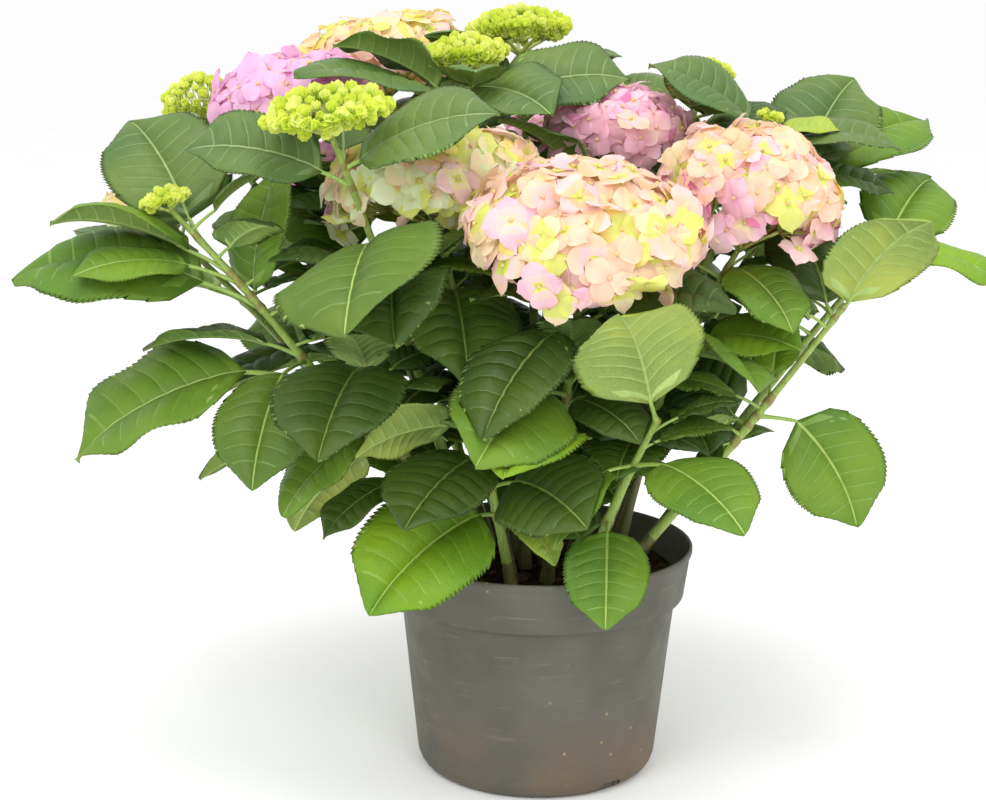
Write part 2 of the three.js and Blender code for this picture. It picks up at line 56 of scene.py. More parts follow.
SEED = 41
WORD = 0xFFFFFFFF  # the stream's numbers are 32 bits wide
POT = Sizes(height=179, rim=120, lip=114, lip_bottom=140, body_top=136, body=107, foot=85, heel=94,
            heel_height=14, wall=2.4, floor=3)
NOTCH = Sizes(width=21, height=9, depth=14, first=-51, count=3)
SOIL_TOP = 154
GAP = 0.3
CANE = Sizes(foot=4.6, flare=1.5, tip=2.1)
STALK = 26
SMALL_HEAD = 40
STALK_LIFT, STALK_FOLLOW = 24, 0.5  # a leaf's stalk rises by half as much as its blade, and more
LEAF = Sizes(width=0.8, droop=34, fold=7, base_curve=0.5, tip_curve=0.62)
PAIR = Sizes(above=0.04, last=0.9, length=(120, 88), turn=(50, 90), rise=(-14, 16), lean=30,
             single=0.5)
VARY = Sizes(turn=40, rise=24, stalk=(0.8, 0.5), length=(0.85, 0.25), roll=20)
HEAD = Sizes(stalk=0.8, small_stalk=0.6, upright=1.6)
SAME_POINT = 0.05
# Tone b holds a painted sheen: leaves high up get a greyer, bluer green for the top light's sheen on
# them.
SHEEN_TONE_FROM = Sizes(grown=440, spare=450)  # leaves above these heights have the bluer tone
SEEDS = Sizes(spare=3, soil=5, leaves=7, flowers=11)
PIECE_TRIANGLES = 115_000  # a leaves piece is closed after the shoot that passes this

# name; foot: turn and distance from the pot's axis; tip; reach and lift of the bend; split;
# head: radius, tint, height for its width; pairs of leaves by rule; the listed leaves' tones, and
# each one's share, turn, rise, stalk, length and roll.
SHOOTS = [
    ("front", (-78, 34), (27, -154, 407), 0.45, 0.55, 0.3, (82, "peach", 0.56), 3, "dgdd",
     [(0.83, -126, -38, 26, 100, 0), (0.43, -106, 0, 40, 108, 0), (0.9, 165, 0, 10, 70, 0),
      (0.6, -35, -30, 14, 66, 10)]),
    ("right", (-32, 46), (143, -64, 420), 0.4, 0.55, 0.36, (67, "peach", 0.74), 3, "mgdb",
     [(0.93, -57, -29, 12, 76, 5), (0.69, -35, 0, 20, 80, 22), (0.62, -146, -13, 16, 70, 0),
      (0.87, 25, -12, 18, 88, 10)]),
    ("middle", (70, 14), (53, 42, 469), 0.3, 0.6, 0.3, (59, "pink", 0.58), 4, "", []),
    ("left_front", (-120, 40), (-76, -54, 430), 0.4, 0.5, 0.28, (80, "cream", 0.54), 3, "vv",
     [(0.83, -103, -30, 8, 104, 0), (0.62, -70, -20, 24, 84, -10)]),
    ("left", (172, 44), (-193, 56, 486), 0.4, 0.55, 0.34, (63, "lilac", 0.58), 3, "d",
     [(0.82, -118, 4, 8, 88, -10)]),
    ("back_left_top", (128, 32), (-128, 150, 514), 0.35, 0.6, 0.34, (72, "cream", 0.5), 4, "", []),
    ("fork", (-166, 48), (-145, -143, 505), 0.45, 0.55, 0.34, (48, "lime", 0.4), 1, "bbvd",
     [(0.88, -177, 9, 23, 98, -30), (0.92, -11, 19, 12, 106, 28), (0.74, -92, -16, 34, 146, 22),
      (0.62, 130, -20, 24, 96, -15)]),
    ("top", (150, 12), (-60, 26, 540), 0.3, 0.6, 0.34, (39, "lime", 0.46), 3, "bbbb",
     [(0.9, 30, 25, 24, 100, 34), (0.87, -150, 12, 30, 128, -8), (0.95, -48, -9, 6, 90, 22),
      (0.93, 160, 2, 14, 74, -20)]),
    ("crown", (88, 40), (-20, 112, 551), 0.3, 0.6, 0.34, (46, "lime", 0.44), 4, "b",
     [(0.9, 50, 8, 20, 96, 0)]),
    ("far_left", (156, 62), (-277, 128, 490), 0.4, 0.6, 0.36, (34, "lime", 0.8), 3, "b",
     [(0.86, -175, -3, 20, 92, -12)]),
    ("left_low", (-168, 62), (-268, -83, 446), 0.5, 0.6, 0.42, (23, "lime", 0.46), 0, "bmmmmmvd",
     [(0.9, 128, 44, 22, 112, -25), (0.8, 178, 11, 34, 106, 12), (0.7, -182, 8, 46, 146, -18),
      (0.77, -158, 5, 40, 86, -12), (0.73, 60, 60, 6, 97, -20), (0.49, -168, -26, 58, 144, -18),
      (0.55, -105, -50, 44, 96, 0), (0.56, 178, -4, 28, 96, 8)]),
    ("right_back", (42, 34), (124, 98, 526), 0.6, 0.55, 0.36, (30, "lime", 0.5), 3, "bd",
     [(0.95, 150, 10, 16, 78, -15), (0.92, -60, -4, 14, 84, 0)]),
    ("small", (8, 60), (169, 10, 504), 0.4, 0.6, 0.36, (13, "lime", 0.5), 3, "bdby",
     [(0.92, 0, -4, 26, 88, 12), (0.81, 0, -9, 44, 80, 12), (0.97, 160, 40, 14, 88, -20),
      (0.95, -14, 24, 14, 48, 15)]),
    ("far_left_back", (140, 80), (-318, 106, 418), 0.5, 0.6, 0.26, (36, "cream", 0.56), 4, "b",
     [(0.88, 150, -5, 20, 100, 0)]),
    ("arch", (-42, 68), (222, -58, 378), 0.5, 0.45, 0.36, None, 0, "yddmgd",
     [(0.985, -60, 56, 8, 98, -25), (0.95, 120, 50, 16, 88, 0), (0.6, 170, 4, 14, 80, -30),
      (0.64, -6, -59, 30, 94, 75), (0.69, 77, 32, 26, 44, 0), (0.55, -160, -60, 10, 44, 0)]),
    ("front_low", (-60, 64), (82, -148, 310), 0.4, 0.5, 0.36, None, 0, "ymmm",
     [(0.985, -117, 42, 24, 112, 28), (0.74, -52, -20, 32, 92, 12), (0.74, -135, -42, 28, 72, 10),
      (0.42, -92, -54, 22, 76, 0)]),
    ("left_skirt", (-148, 72), (-126, -112, 338), 0.45, 0.5, 0.4, None, 1, "ddmyd",
     [(0.985, -100, -22, 18, 114, 0), (0.95, 70, 10, 20, 96, 0), (0.7, -138, -52, 26, 84, -5),
      (0.6, 172, -40, 30, 84, 35), (0.48, -176, -14, 20, 70, 0)]),
    ("front_skirt", (-106, 68), (-46, -104, 292), 0.4, 0.5, 0.36, None, 1, "ydgyd",
     [(0.985, -158, -14, 20, 76, 50), (0.82, -120, -20, 14, 98, -8), (0.49, -139, -29, 16, 118, -30),
      (0.5, -40, -36, 16, 52, 0), (0.75, 20, -20, 20, 80, 0)]),
    ("back", (104, 66), (20, 252, 436), 0.45, 0.6, 0.22, (62, "pink", 0.58), 4, "", []),
    ("back_right", (58, 62), (164, 212, 426), 0.45, 0.6, 0.22, (60, "peach", 0.58), 4, "", []),
    ("far_right", (16, 78), (262, 20, 408), 0.5, 0.55, 0.62, None, 2, "mg",
     [(0.985, 58, 26, 18, 92, 25), (0.985, -12, -10, 16, 84, 10)]),
    ("right_rear", (34, 66), (196, 52, 450), 0.4, 0.6, 0.34, None, 2, "bbm",
     [(0.985, 55, 40, 24, 108, 22), (0.9, 120, 52, 30, 84, -20), (0.95, 4, 34, 42, 118, 14)]),
    ("back_left", (122, 72), (-168, 238, 416), 0.45, 0.6, 0.22, (55, "lilac", 0.58), 4, "", []),
]

# Turns and lifts tried in order where a leaf would touch what is already there.
NUDGES = [(0, 0), (0, 8), (0, -8), (9, 0), (-9, 0), (12, 12), (-12, 12), (12, -12), (-12, -12),
          (0, 20), (0, -20), (22, 0), (-22, 0), (30, 16), (-30, 16), (30, -16), (-30, -16)]


# ---- the shoots' rule


def lerp(low, high, share):
    return low + (high - low) * share


def unit(vector):
    return vector / np.linalg.norm(vector)


def stream(seed):
    """The solids' seeded stream of numbers from 0 to 1."""
    state = seed
    while True:
        state = (state + 0x6D2B79F5) & WORD
        mixed = ((state ^ (state >> 15)) * (state | 1)) & WORD
        mixed = ((mixed + (((mixed ^ (mixed >> 7)) * (mixed | 61)) & WORD)) ^ mixed) & WORD
        yield (mixed ^ (mixed >> 14)) / (WORD + 1)


def circle(steps):
    return np.linspace(0, tau, steps, endpoint=False)


def heading(turn, rise):
    """Unit vector from a turn about Z and a rise above level, in degrees."""
    turn, rise = radians(turn), radians(rise)
    level = cos(rise)
    return np.array([level * cos(turn), level * sin(turn), sin(rise)])


def turned_to(axis):
    """The rotation that takes +Z to axis by the shortest way."""
    return np.array(Vector(UP).rotation_difference(Vector(axis)).to_matrix())


def bend(low, middle, high, share):
    """Points at shares of a quadratic bend."""
    share = np.asarray(share, float)[..., None]
    return (1 - share) ** 2 * low + 2 * share * (1 - share) * middle + share ** 2 * high


class Head:
    """A flower head: a lime one in bud, or a mophead of another tint."""

    def __init__(self, shoot, radius, tint, flat):
        self.radius, self.tint, self.flat, self.tip = radius, tint, flat, shoot.point(1)
        self.axis = unit(shoot.tangent(1) + UP * HEAD.upright)
        stalk = flat * (HEAD.small_stalk if radius < SMALL_HEAD else HEAD.stalk)
        self.centre = self.tip + self.axis * radius * stalk


class Shoot:
    """One shoot: a quadratic bend from the soil to its tip, with its head and its leaves."""

    def __init__(self, row):
        self.name, foot, tip, reach, lift, self.split, head, self.pairs, tones, listed = row
        self.foot_turn, out = foot
        low = heading(self.foot_turn, 0) * out + UP * (SOIL_TOP + GAP)
        high = np.array(tip, float)
        self.corners = low, low + (high - low) * np.array([reach, reach, lift]), high
        self.head = head and Head(self, *head)
        self.offered = [Leaf(self, *leaf, tone) for leaf, tone in zip(listed, tones)]
        self.leaves = []

    def point(self, share):
        return bend(*self.corners, share)

    def tangent(self, share):
        low, middle, high = self.corners
        return unit((1 - share) * (middle - low) + share * (high - middle))

    def radius(self, share):
        return lerp(CANE.foot, CANE.tip, share) + CANE.flare * max(0, 1 - share * 9)


class Leaf:
    """One leaf: a stalk from its node on the shoot and a drooping blade."""

    def __init__(self, shoot, share, turn, rise, stalk, length, roll, tone):
        self.shoot, self.share, self.turn, self.rise = shoot, share, turn, rise
        self.rest = self.stalk, self.length, self.roll, self.tone = stalk, length, roll, tone
        self.node = shoot.point(share)
        self.base = self.node + heading(turn, rise * STALK_FOLLOW + STALK_LIFT) * stalk

    def tip(self):
        return self.frame(np.array(1.0))[0]

    def frame(self, share):
        """Midrib points, side vectors and face normals at shares of the blade's length."""
        start = radians(self.rise + LEAF.droop / 2)
        droop = radians(LEAF.droop)
        now = start - droop * share
        out = self.length * (sin(start) - np.sin(now)) / droop
        rise = self.length * (np.cos(now) - cos(start)) / droop
        level = heading(self.turn, 0)
        point = self.base + out[..., None] * level + rise[..., None] * UP
        side = np.array([-level[1], level[0], 0.0])
        normal = -np.sin(now)[..., None] * level + np.cos(now)[..., None] * UP
        roll = radians(self.roll)
        return (point, side * cos(roll) + normal * sin(roll),
                normal * cos(roll) - side * sin(roll))


def offer_pairs(shoot, numbers):
    """Offers a shoot its pairs by rule, after the listed leaves."""
    for pair in range(shoot.pairs):
        height = PAIR.single if shoot.pairs == 1 else pair / (shoot.pairs - 1)
        share = lerp(shoot.split + PAIR.above, PAIR.last, height)
        node = shoot.point(share)
        for side in (0, 180):
            turn = shoot.foot_turn + PAIR.turn[0] + PAIR.turn[1] * pair + side
            turn += (next(numbers) - 0.5) * VARY.turn
            rise = lerp(*PAIR.rise, height) + (next(numbers) - 0.5) * VARY.rise
            stalk = STALK * (VARY.stalk[0] + next(numbers) * VARY.stalk[1])
            length = lerp(*PAIR.length, height)
            length *= VARY.length[0] + next(numbers) * VARY.length[1]
            roll = (next(numbers) - 0.5) * VARY.roll
            roll -= PAIR.lean * sin(atan2(node[1], node[0]) - radians(turn))
            # high up, tone b paints the top light's sheen into the leaf's own green
            tone = "b" if node[2] > SHEEN_TONE_FROM.grown else "m" if pair % 2 else "d"
            shoot.offered.append(Leaf(shoot, share, turn, rise, stalk, length, roll, tone))


def keep_grown(shoot):
    """Keeps each offered leaf as it grew: the first nudge whose tip is a corner of the solid."""
    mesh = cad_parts[f"foliage_{shoot.name}"].data
    corners = np.array([corner.co for corner in mesh.vertices]) / MM
    for leaf in shoot.offered:
        for turn, rise in NUDGES:
            tried = Leaf(shoot, leaf.share, leaf.turn + turn, leaf.rise + rise, *leaf.rest)
            if np.abs(corners - tried.tip()).max(axis=1).min() < SAME_POINT:
                shoot.leaves.append(tried)
                break


def grow():
    shoots = [Shoot(row) for row in SHOOTS]
    numbers = stream(SEED)
    for shoot in shoots:
        offer_pairs(shoot, numbers)
        keep_grown(shoot)
    return shoots


# ---- meshes


class Skin:
    """Points and faces of one piece, with a paint for each face."""

    def __init__(self):
        self.points, self.faces, self.paints, self.count = [], [], [], 0

    def add(self, points, faces, paints):
        points = np.asarray(points, float).reshape(-1, 3)
        self.points.append(points)
        self.faces += [[self.count + i for i in face] for face in faces]
        self.paints += [paints] * len(faces) if isinstance(paints, str) else list(paints)
        self.count += len(points)

    def triangles(self):
        return sum(len(face) - 2 for face in self.faces)

    def piece(self, name, slot, nodes=()):
        """Makes the mesh in metres, rides it on the one body and lets it stand for nodes."""
        mesh = bpy.data.meshes.new(name)
        mesh.from_pydata((np.concatenate(self.points) * MM).tolist(), [], self.faces)
        names = sorted(set(self.paints))
        for paint in names:
            mesh.materials.append(PAINTS[paint])
        mesh.polygons.foreach_set("material_index", [names.index(p) for p in self.paints])
        mesh.polygons.foreach_set("use_smooth", [True] * len(self.faces))
        mesh.update()
        thing = placed(name, mesh)
        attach(thing, "root")
        if nodes:
            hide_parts(*nodes)
        return thing


def placed(name, data):
    thing = bpy.data.objects.new(name, data)
    bpy.context.scene.collection.objects.link(thing)
    return thing


def sheet_faces(rows, columns, offset=0):
    """Quads of a grid of points, row by row."""
    quads = []
    for row in range(rows - 1):
        for column in range(columns - 1):
            a = offset + row * columns + column
            quads.append([a, a + columns, a + columns + 1, a + 1])
    return quads


def ring_faces(rings, sides, downward=False):
    """Quads between rings of points that run up, or down, and the two ends last."""
    faces = []
    for low in range(0, (rings - 1) * sides, sides):
        for side in range(sides):
            after = (side + 1) % sides
            a, b, c, d = low + side, low + after, low + sides + after, low + sides + side
            faces.append([a, d, c, b] if downward else [a, b, c, d])
    way = 1 if downward else -1
    first, last = np.arange(sides), np.arange(sides) + (rings - 1) * sides
    return faces + [first[::way].tolist(), last[::-way].tolist()]


def tube(skin, points, radii, sides, paints):
    """A round limb through points. paints is one name, or one for each stretch."""
    points = np.asarray(points, float)
    along = np.gradient(points, axis=0)
    along /= np.linalg.norm(along, axis=1)[:, None]
    across = np.cross(along[0], UP if abs(along[0][2]) < 0.9 else np.array([1.0, 0, 0]))
    angles = circle(sides)[:, None]
    rings = []
    for point, way, radius in zip(points, along, radii):
        across = unit(across - way * across.dot(way))
        other = np.cross(way, across)
        rings.append(point + radius * (np.cos(angles) * across + np.sin(angles) * other))
    stretches = [paints] * len(points) if isinstance(paints, str) else paints
    names = [name for name in stretches[:len(points) - 1] for _ in range(sides)]
    names += [names[0], names[-1]]
    skin.add(np.concatenate(rings), ring_faces(len(points), sides), names)


# ---- blades

VEINS = 7
# Shares of the blade's length, and the midrib's half width at the blade's foot in mm.
VEIN = Sizes(first=0.06, step=0.12, slant=0.24, midrib=0.9)
TOOTH = Sizes(out=0.045, forward=0.008)
POINT = Sizes(start=0.78, length=0.22, narrower=0.5, curve=0.8)
TRAITS = {
    "fold": (-7, 4), "crown": (0.4, 1.1), "quilt": (0.7, 1.3), "wave": (1, 3.6),
    "waves": (1.2, 2.4), "phase": (0, 1), "hook": (0, 3),
}
QUILT = {"d": 2.2, "b": 1.3, "v": 1.6}  # how strongly a tone's blades swell between their veins
# Rows from one side vein to the next, or to the tip: where each is, and how far its tooth is out.
FINE_STEPS = [(0, 1), (0.04, 0), (0.28, 1), (0.35, 0), (0.62, 1), (0.69, 0), (0.96, 1)]
FINE_TIP = [
    (0, 1), (0.04, 0), (0.24, 1), (0.32, 0), (0.52, 1), (0.6, 0), (0.8, 1), (0.9, 0.5), (1, 0),
]
PLAIN_STEPS = [(0, 1), (0.06, 0), (0.46, 1), (0.56, 0), (0.94, 1)]
PLAIN_TIP = [(0, 1), (0.06, 0), (0.4, 1), (0.5, 0), (0.8, 1), (1, 0)]


class BladeGrid:
    """Rows that follow the side veins, columns from edge to edge, and the faces over both sides."""

    def __init__(self, steps, tip, halves):
        first, step = VEIN.first, VEIN.step
        rows = [(0.0, 0, -1), (first / 2, 0, 0.5)]
        for vein in range(VEINS - 1):
            rows += [(first + step * (vein + share), tooth, share) for share, tooth in steps]
        last = first + step * (VEINS - 1)
        rows += [(last + (1 - last) * share, tooth, min(share * 2, 0.5)) for share, tooth in tip]
        self.start, self.tooth, self.between = (np.array(part, float) for part in zip(*rows))
        self.columns = np.array([-share for share in halves[::-1]] + [0] + list(halves))
        self.rows, self.width = len(rows), len(self.columns)
        self.quilt = np.sin(np.pi * np.clip(self.between, 0, 1)) ** 0.7
        self.on_vein = np.isclose(self.between, 0)
        self.make_faces()

    def make_faces(self):
        rows, width = self.rows, self.width
        middle = width // 2
        top = np.arange(rows * width).reshape(rows, width)
        under = top.copy()
        under[:, 1:-1] = rows * width + np.arange(rows * (width - 2)).reshape(rows, width - 2)
        self.faces, self.kinds = [], []
        for row in range(rows - 1):
            veined = self.on_vein[row] or self.on_vein[row + 1]
            for column in range(width - 1):
                inside = 1 < column < width - 3
                midrib = column in (middle - 1, middle)
                ways = [(row, column), (row + 1, column), (row + 1, column + 1), (row, column + 1)]
                self.faces.append([top[way] for way in ways])
                self.faces.append([under[way] for way in ways[::-1]])
                vein = "midrib" if midrib else "vein"
                self.kinds += [vein, "rib"] if midrib or (veined and inside) else ["leaf", "under"]
        for row, order in ((0, 1), (rows - 1, -1)):
            for column in range(width - 1):
                corners = [top[row, column], top[row, column + 1]]
                corners += [under[row, column + 1], under[row, column]]
                self.faces.append(list(dict.fromkeys(corners))[::order])
                self.kinds.append("vein")


FINE_BLADE = BladeGrid(FINE_STEPS, FINE_TIP, (0.04, 0.26, 0.5, 0.73, 0.9, 1.0))
PLAIN_BLADE = BladeGrid(PLAIN_STEPS, PLAIN_TIP, (0.05, 0.4, 0.76, 1.0))


def blade_outline(share):
    """Half width at a share of the blade's length, as a share of its widest half."""
    low, high = LEAF.base_curve, LEAF.tip_curve
    widest = low / (low + high)
    share = np.clip(share, 0, 1)
    near_tip = np.clip((share - POINT.start) / POINT.length, 0, 1)
    drawn_out = 1 - POINT.narrower * near_tip ** POINT.curve
    return drawn_out * share ** low * (1 - share) ** high / (widest ** low * (1 - widest) ** high)


def blade_points(leaf, grid, traits):
    """Points of a blade's upper side, then of its lower side."""
    reach = np.abs(grid.columns)[None, :]
    way = np.sign(grid.columns)[None, :]
    start = grid.start[:, None]
    edge = (reach == 1) * grid.tooth[:, None]
    slant = VEIN.slant * (1 - start) * np.minimum(1, start / 0.1)
    share = start + slant * reach ** 1.2 + TOOTH.forward * edge * (start < 0.95)
    share = np.clip(share, 0, 1)
    half = leaf.length * LEAF.width / 2 * blade_outline(share)
    half = np.maximum(half, lerp(1.3, 0.25, share)) * (1 + TOOTH.out * edge)
    midrib = np.minimum(VEIN.midrib * (1 - 0.6 * share) + 0.15, half * 0.25)
    narrow = (reach > 0) & (reach < 0.1)
    lateral = np.where(narrow, midrib, half * reach)
    point, side, normal = leaf.frame(share)
    fold = radians(LEAF.fold + traits["fold"])
    size = leaf.length / 100
    crown = 0.2 * half * np.sin(pi * reach ** 0.8) * traits["crown"]
    uneven = 0.75 + 0.25 * np.sin(5 * share + 9 * traits["phase"] + 1.5 * way)
    quilt = traits["quilt"] * uneven * size * grid.quilt[:, None]
    quilt = quilt * np.sin(pi * reach ** 0.7) ** 0.8
    turn = tau * (traits["waves"] * share + traits["phase"] + 0.25 * way)
    wave = traits["wave"] * size * reach ** 2 * np.sin(turn)
    hook = -traits["hook"] * size * np.clip((share - 0.7) / 0.3, 0, 1) ** 2
    rise = (lateral * sin(fold) + crown + quilt + wave + hook) * np.minimum(1, share / 0.06)
    upper = point + (way * lateral * cos(fold))[..., None] * side + rise[..., None] * normal
    thick = 0.28 + 0.3 * (1 - reach ** 2) + np.zeros_like(share)
    rib = np.where(reach < 0.1, 1.1 * (1 - 0.75 * share), 0) * size
    rib = rib + np.where((reach >= 0.1) & grid.on_vein[:, None], 0.4 * (1 - reach), 0) * size
    lower = upper - (thick + rib)[..., None] * normal
    return np.concatenate([upper.reshape(-1, 3), lower[:, 1:-1].reshape(-1, 3)])


def add_blade(skin, leaf, grid, rng):
    traits = {trait: rng.uniform(*limits) for trait, limits in TRAITS.items()}
    traits["quilt"] *= QUILT.get(leaf.tone, 1.0)
    names = {kind: f"{kind}_{leaf.tone}" for kind in ("leaf", "vein", "midrib")}
    names |= {"under": "under_pale" if leaf.tone in "gy" else "under_dull", "rib": "rib"}
    skin.add(blade_points(leaf, grid, traits), grid.faces, [names[kind] for kind in grid.kinds])


def add_petiole(skin, leaf):
    """The leaf's stalk, thick where it clasps the stem, running into the midrib."""
    size = leaf.length / 100
    mid, _, normal = leaf.frame(np.array([0.0, 0.1]))
    knee = lerp(leaf.node, leaf.base, 0.6) + UP * 0.04 * leaf.stalk
    path = list(bend(leaf.node, knee, mid[0] - normal[0] * 0.9 * size, np.linspace(0, 1, 7)))
    radii = np.array([2.7, 2.1, 1.7, 1.6, 1.6, 1.6, 1.5, 0.9]) * (0.45 + 0.5 * size)
    tube(skin, path + [mid[1] - normal[1] * 1.1 * size], radii, 8, "petiole")


# ---- more leaves where they fit

SPARE = Sizes(clearance=1.5, tries=9, turn=140, nudges=(0, 35, -35, 70), length=(92, 50),
              rise=(-10, 26), middle=(-10, 10, 385), inner=(235, 225, 195))


def coarse_blade(leaf, grow):
    """A blade as two coarse sheets for the touching test, grown to all sides."""
    share = np.linspace(0, 1, 7)[:, None]
    across = np.array([-1, -0.5, 0, 0.5, 1])[None, :]
    half = leaf.length * LEAF.width / 2 * blade_outline(share) + grow
    point, side, normal = leaf.frame(share + across * 0)
    fold = radians(LEAF.fold)
    points = point + (across * half * cos(fold))[..., None] * side
    points = points + (np.abs(across) * half * sin(fold))[..., None] * normal
    both = np.concatenate([points + normal * grow, points - normal * grow])
    return BVHTree.FromPolygons(both.reshape(-1, 3), sheet_faces(7, 5) + sheet_faces(7, 5, 35))


def head_shell(head):
    """A head's outer shape as a coarse ball."""
    turn, rise = np.meshgrid(np.linspace(0, tau, 13), np.linspace(-1.2, 1.57, 7))
    level = np.cos(rise)
    ball = np.stack([level * np.cos(turn), level * np.sin(turn), np.sin(rise) * head.flat], -1)
    points = ball.reshape(-1, 3) * head.radius @ turned_to(head.axis).T + head.centre
    return BVHTree.FromPolygons(points, sheet_faces(7, 13))


def spare_leaves(shoots, rng):
    """Smaller leaves between the grown ones, inside the crown, where they touch nothing."""
    room = SPARE.clearance
    vary = rng.uniform
    taken = [coarse_blade(leaf, room) for shoot in shoots for leaf in shoot.leaves]
    taken += [head_shell(shoot.head) for shoot in shoots if shoot.head]
    spare = []
    for shoot, step, side in product(shoots, range(SPARE.tries), (0, 180)):
        height = (step + 0.5) / SPARE.tries
        share = lerp(shoot.split * 0.5, 0.97, height)
        length = lerp(*SPARE.length, height) * vary(0.8, 1.15)
        for nudge in SPARE.nudges:
            turn = shoot.foot_turn + SPARE.turn * step + side + nudge + vary(-15, 15)
            rise = lerp(*SPARE.rise, height) + vary(-14, 14)
            stalk = STALK * vary(0.5, 0.9)
            leaf = Leaf(shoot, share, turn, rise, stalk, length, vary(-15, 15), "")
            tip = leaf.tip()
            out = np.linalg.norm((tip - SPARE.middle) / SPARE.inner)
            if out > 1 or tip[2] < POT.height + 10:
                continue
            shape = coarse_blade(leaf, room)
            if any(shape.overlap(other) for other in taken):
                continue
            # high up, tone b paints the top light's sheen into the leaf's own green
            sheen_toned = leaf.base[2] > SHEEN_TONE_FROM.spare
            leaf.tone = "b" if sheen_toned else rng.choice(list("dmvd"))
            taken.append(shape)
            spare.append(leaf)
            break
    return spare


# ---- flower heads

GOLDEN = pi * (3 - sqrt(5))
SEPAL_ROWS, SEPAL_COLUMNS = 7, 6
SEPAL_FACES = sheet_faces(SEPAL_ROWS, SEPAL_COLUMNS)
BUD_FACES = sheet_faces(4, 4)
PAIR_GAP = 0.7  # a floret's second pair of sepals lies this much above its first
EYE = Sizes(radius=1.7, lift=1.6)
# Sizes go from the smallest head's to the largest's; levels go from -1 to 1 over a head.
MOPHEAD = Sizes(floret=(11.5, 17), lowest=-0.42, zones=(0.62, 0.12), thinned=0.5)
BUDHEAD = Sizes(bud=(4.4, 7.4), lowest=-0.72)
BALL = bmesh.new()
bmesh.ops.create_icosphere(BALL, subdivisions=1, radius=1)
BALL_POINTS = np.array([v.co for v in BALL.verts])
BALL_FACES = [[v.index for v in f.verts] for f in BALL.faces]
BALL.free()

# What the florets of a head are tinted: at its top, round its shoulder and at its rim.
PALETTES = {
    "front": ("ppapkcpa", "pbyyckpyb", "kkcypkpk"),
    "right": ("aappkcpa", "apcbpkpy", "rkkprrkh"),
    # o is a pink lightened as painted light, for this head in the shade of the leaves above it
    "middle": ("okookroo", "orokorkr", "rorrkoro"),
    "left_front": ("pbcaybcb", "gbgycgpg", "gggcggkg"),
    "left": ("vwvwwvww", "wvvwwvww", "vwwvvwvw"),
    "back_left_top": ("bbcbybcp", "bcybbccp", "bcpkccpc"),
    "far_left_back": ("ccgbcgyc", "ccggcycb", "cgcgccgc"),
    "back": ("krrkrrkr", "rrkrrrkr", "rrrhrrkr"),
    "back_right": ("appcaplc", "paplckpy", "kkpprkac"),
    "back_left": ("vwvvwwvv", "vvwvvrwv", "vvwvrvvw"),
}
VIVID = "rohvw"
# What a sepal's tip may blush to.
EDGES = {
    "p": "ka", "a": "kp", "c": "pk", "b": "pc", "y": "bc", "l": "yc", "g": "cy", "k": "rp",
    "r": "kh", "o": "r", "h": "r", "v": "w", "w": "v",
}


def spread(count, lowest):
    """Directions evenly spread over a ball from its top down to a level."""
    number = np.arange(count)
    level = 1 - (number + 0.5) / count * (1 - lowest)
    around = np.sqrt(1 - level ** 2)
    return np.stack([around * np.cos(GOLDEN * number), around * np.sin(GOLDEN * number), level], -1)


def sepal(size, width, rise, fall, cup, ripple, phase):
    """One sepal lying along +X from its claw, with its tip last."""
    share = np.linspace(0.03, 1, SEPAL_ROWS)[:, None]
    across = np.linspace(-1, 1, SEPAL_COLUMNS)[None, :]
    half = size * width * np.maximum(np.sin(pi * share ** 1.2) ** 0.62, 0.07)
    point = share + (1 - np.abs(across)) * 0.1 * share ** 6
    bulge = rise * share - fall * share ** 2 + cup * (across * half / size) ** 2
    bulge = bulge + ripple * share * np.sin(2.2 * pi * across + phase + 3 * share)
    return np.stack([size * point + 0 * across, half * across, size * bulge], -1).reshape(-1, 3)


def bud_sepal(size, opening):
    """One cupped sepal of a half-open bud."""
    share = np.linspace(0.05, 1, 4)[:, None]
    across = np.linspace(-1, 1, 4)[None, :]
    half = size * 0.62 * np.maximum(np.sin(pi * share ** 1.1) ** 0.7, 0.1)
    out = size * (0.75 * share * opening ** 0.5 - 0.12 * share ** 3)
    lift = size * (1.15 - 0.35 * opening) * share ** 1.3 + 0.25 * (across * half) ** 2 / size
    return np.stack([out + 0 * across, half * across, lift], -1).reshape(-1, 3)


def spun(angle):
    return np.array(Matrix.Rotation(angle, 3, "Z"))


def add_floret(skin, place, normal, size, paints, rng):
    """An open floret: four broad sepals in two crossed pairs round a small closed eye.

    The paints are those of a sepal's heart, its middle and its tip.
    """
    vary = rng.uniform
    rows = [0] * int(rng.integers(1, 3)) + [1] * 2
    rows += [2] * (SEPAL_ROWS - 1 - len(rows))
    paints = [paints[row] for row in rows for _ in range(SEPAL_COLUMNS - 1)]
    base = turned_to(normal) @ spun(vary(0, tau))
    rise, fall = vary(0.2, 0.5), vary(0.35, 0.75)
    for number in range(4):
        arm = spun(number * pi / 2 + vary(-0.12, 0.12))
        leaf = sepal(size * vary(0.86, 1.1), vary(0.48, 0.6), rise,
                     fall + vary(-0.15, 0.15), vary(-0.45, 0.45),
                     vary(0.02, 0.08), vary(0, 6))
        leaf[:, 2] += (number % 2) * PAIR_GAP
        skin.add(leaf @ (base @ arm).T + place, SEPAL_FACES, paints)
    skin.add(BALL_POINTS * EYE.radius @ base.T + place + normal * EYE.lift, BALL_FACES, "eye")


def add_bud(skin, place, normal, size, paint, rng):
    """A half-open bud: a small ball in four cupped sepals."""
    base = turned_to(normal) @ spun(rng.uniform(0, tau))
    opening = rng.uniform(0.15, 0.6)
    for number in range(4):
        arm = spun(number * pi / 2 + rng.uniform(-0.2, 0.2))
        skin.add(bud_sepal(size, opening) @ (base @ arm).T + place, BUD_FACES, paint)
    heart = BALL_POINTS * size * 0.42 @ base.T + place + normal * size * 0.3
    skin.add(heart, BALL_FACES, "bud_heart")


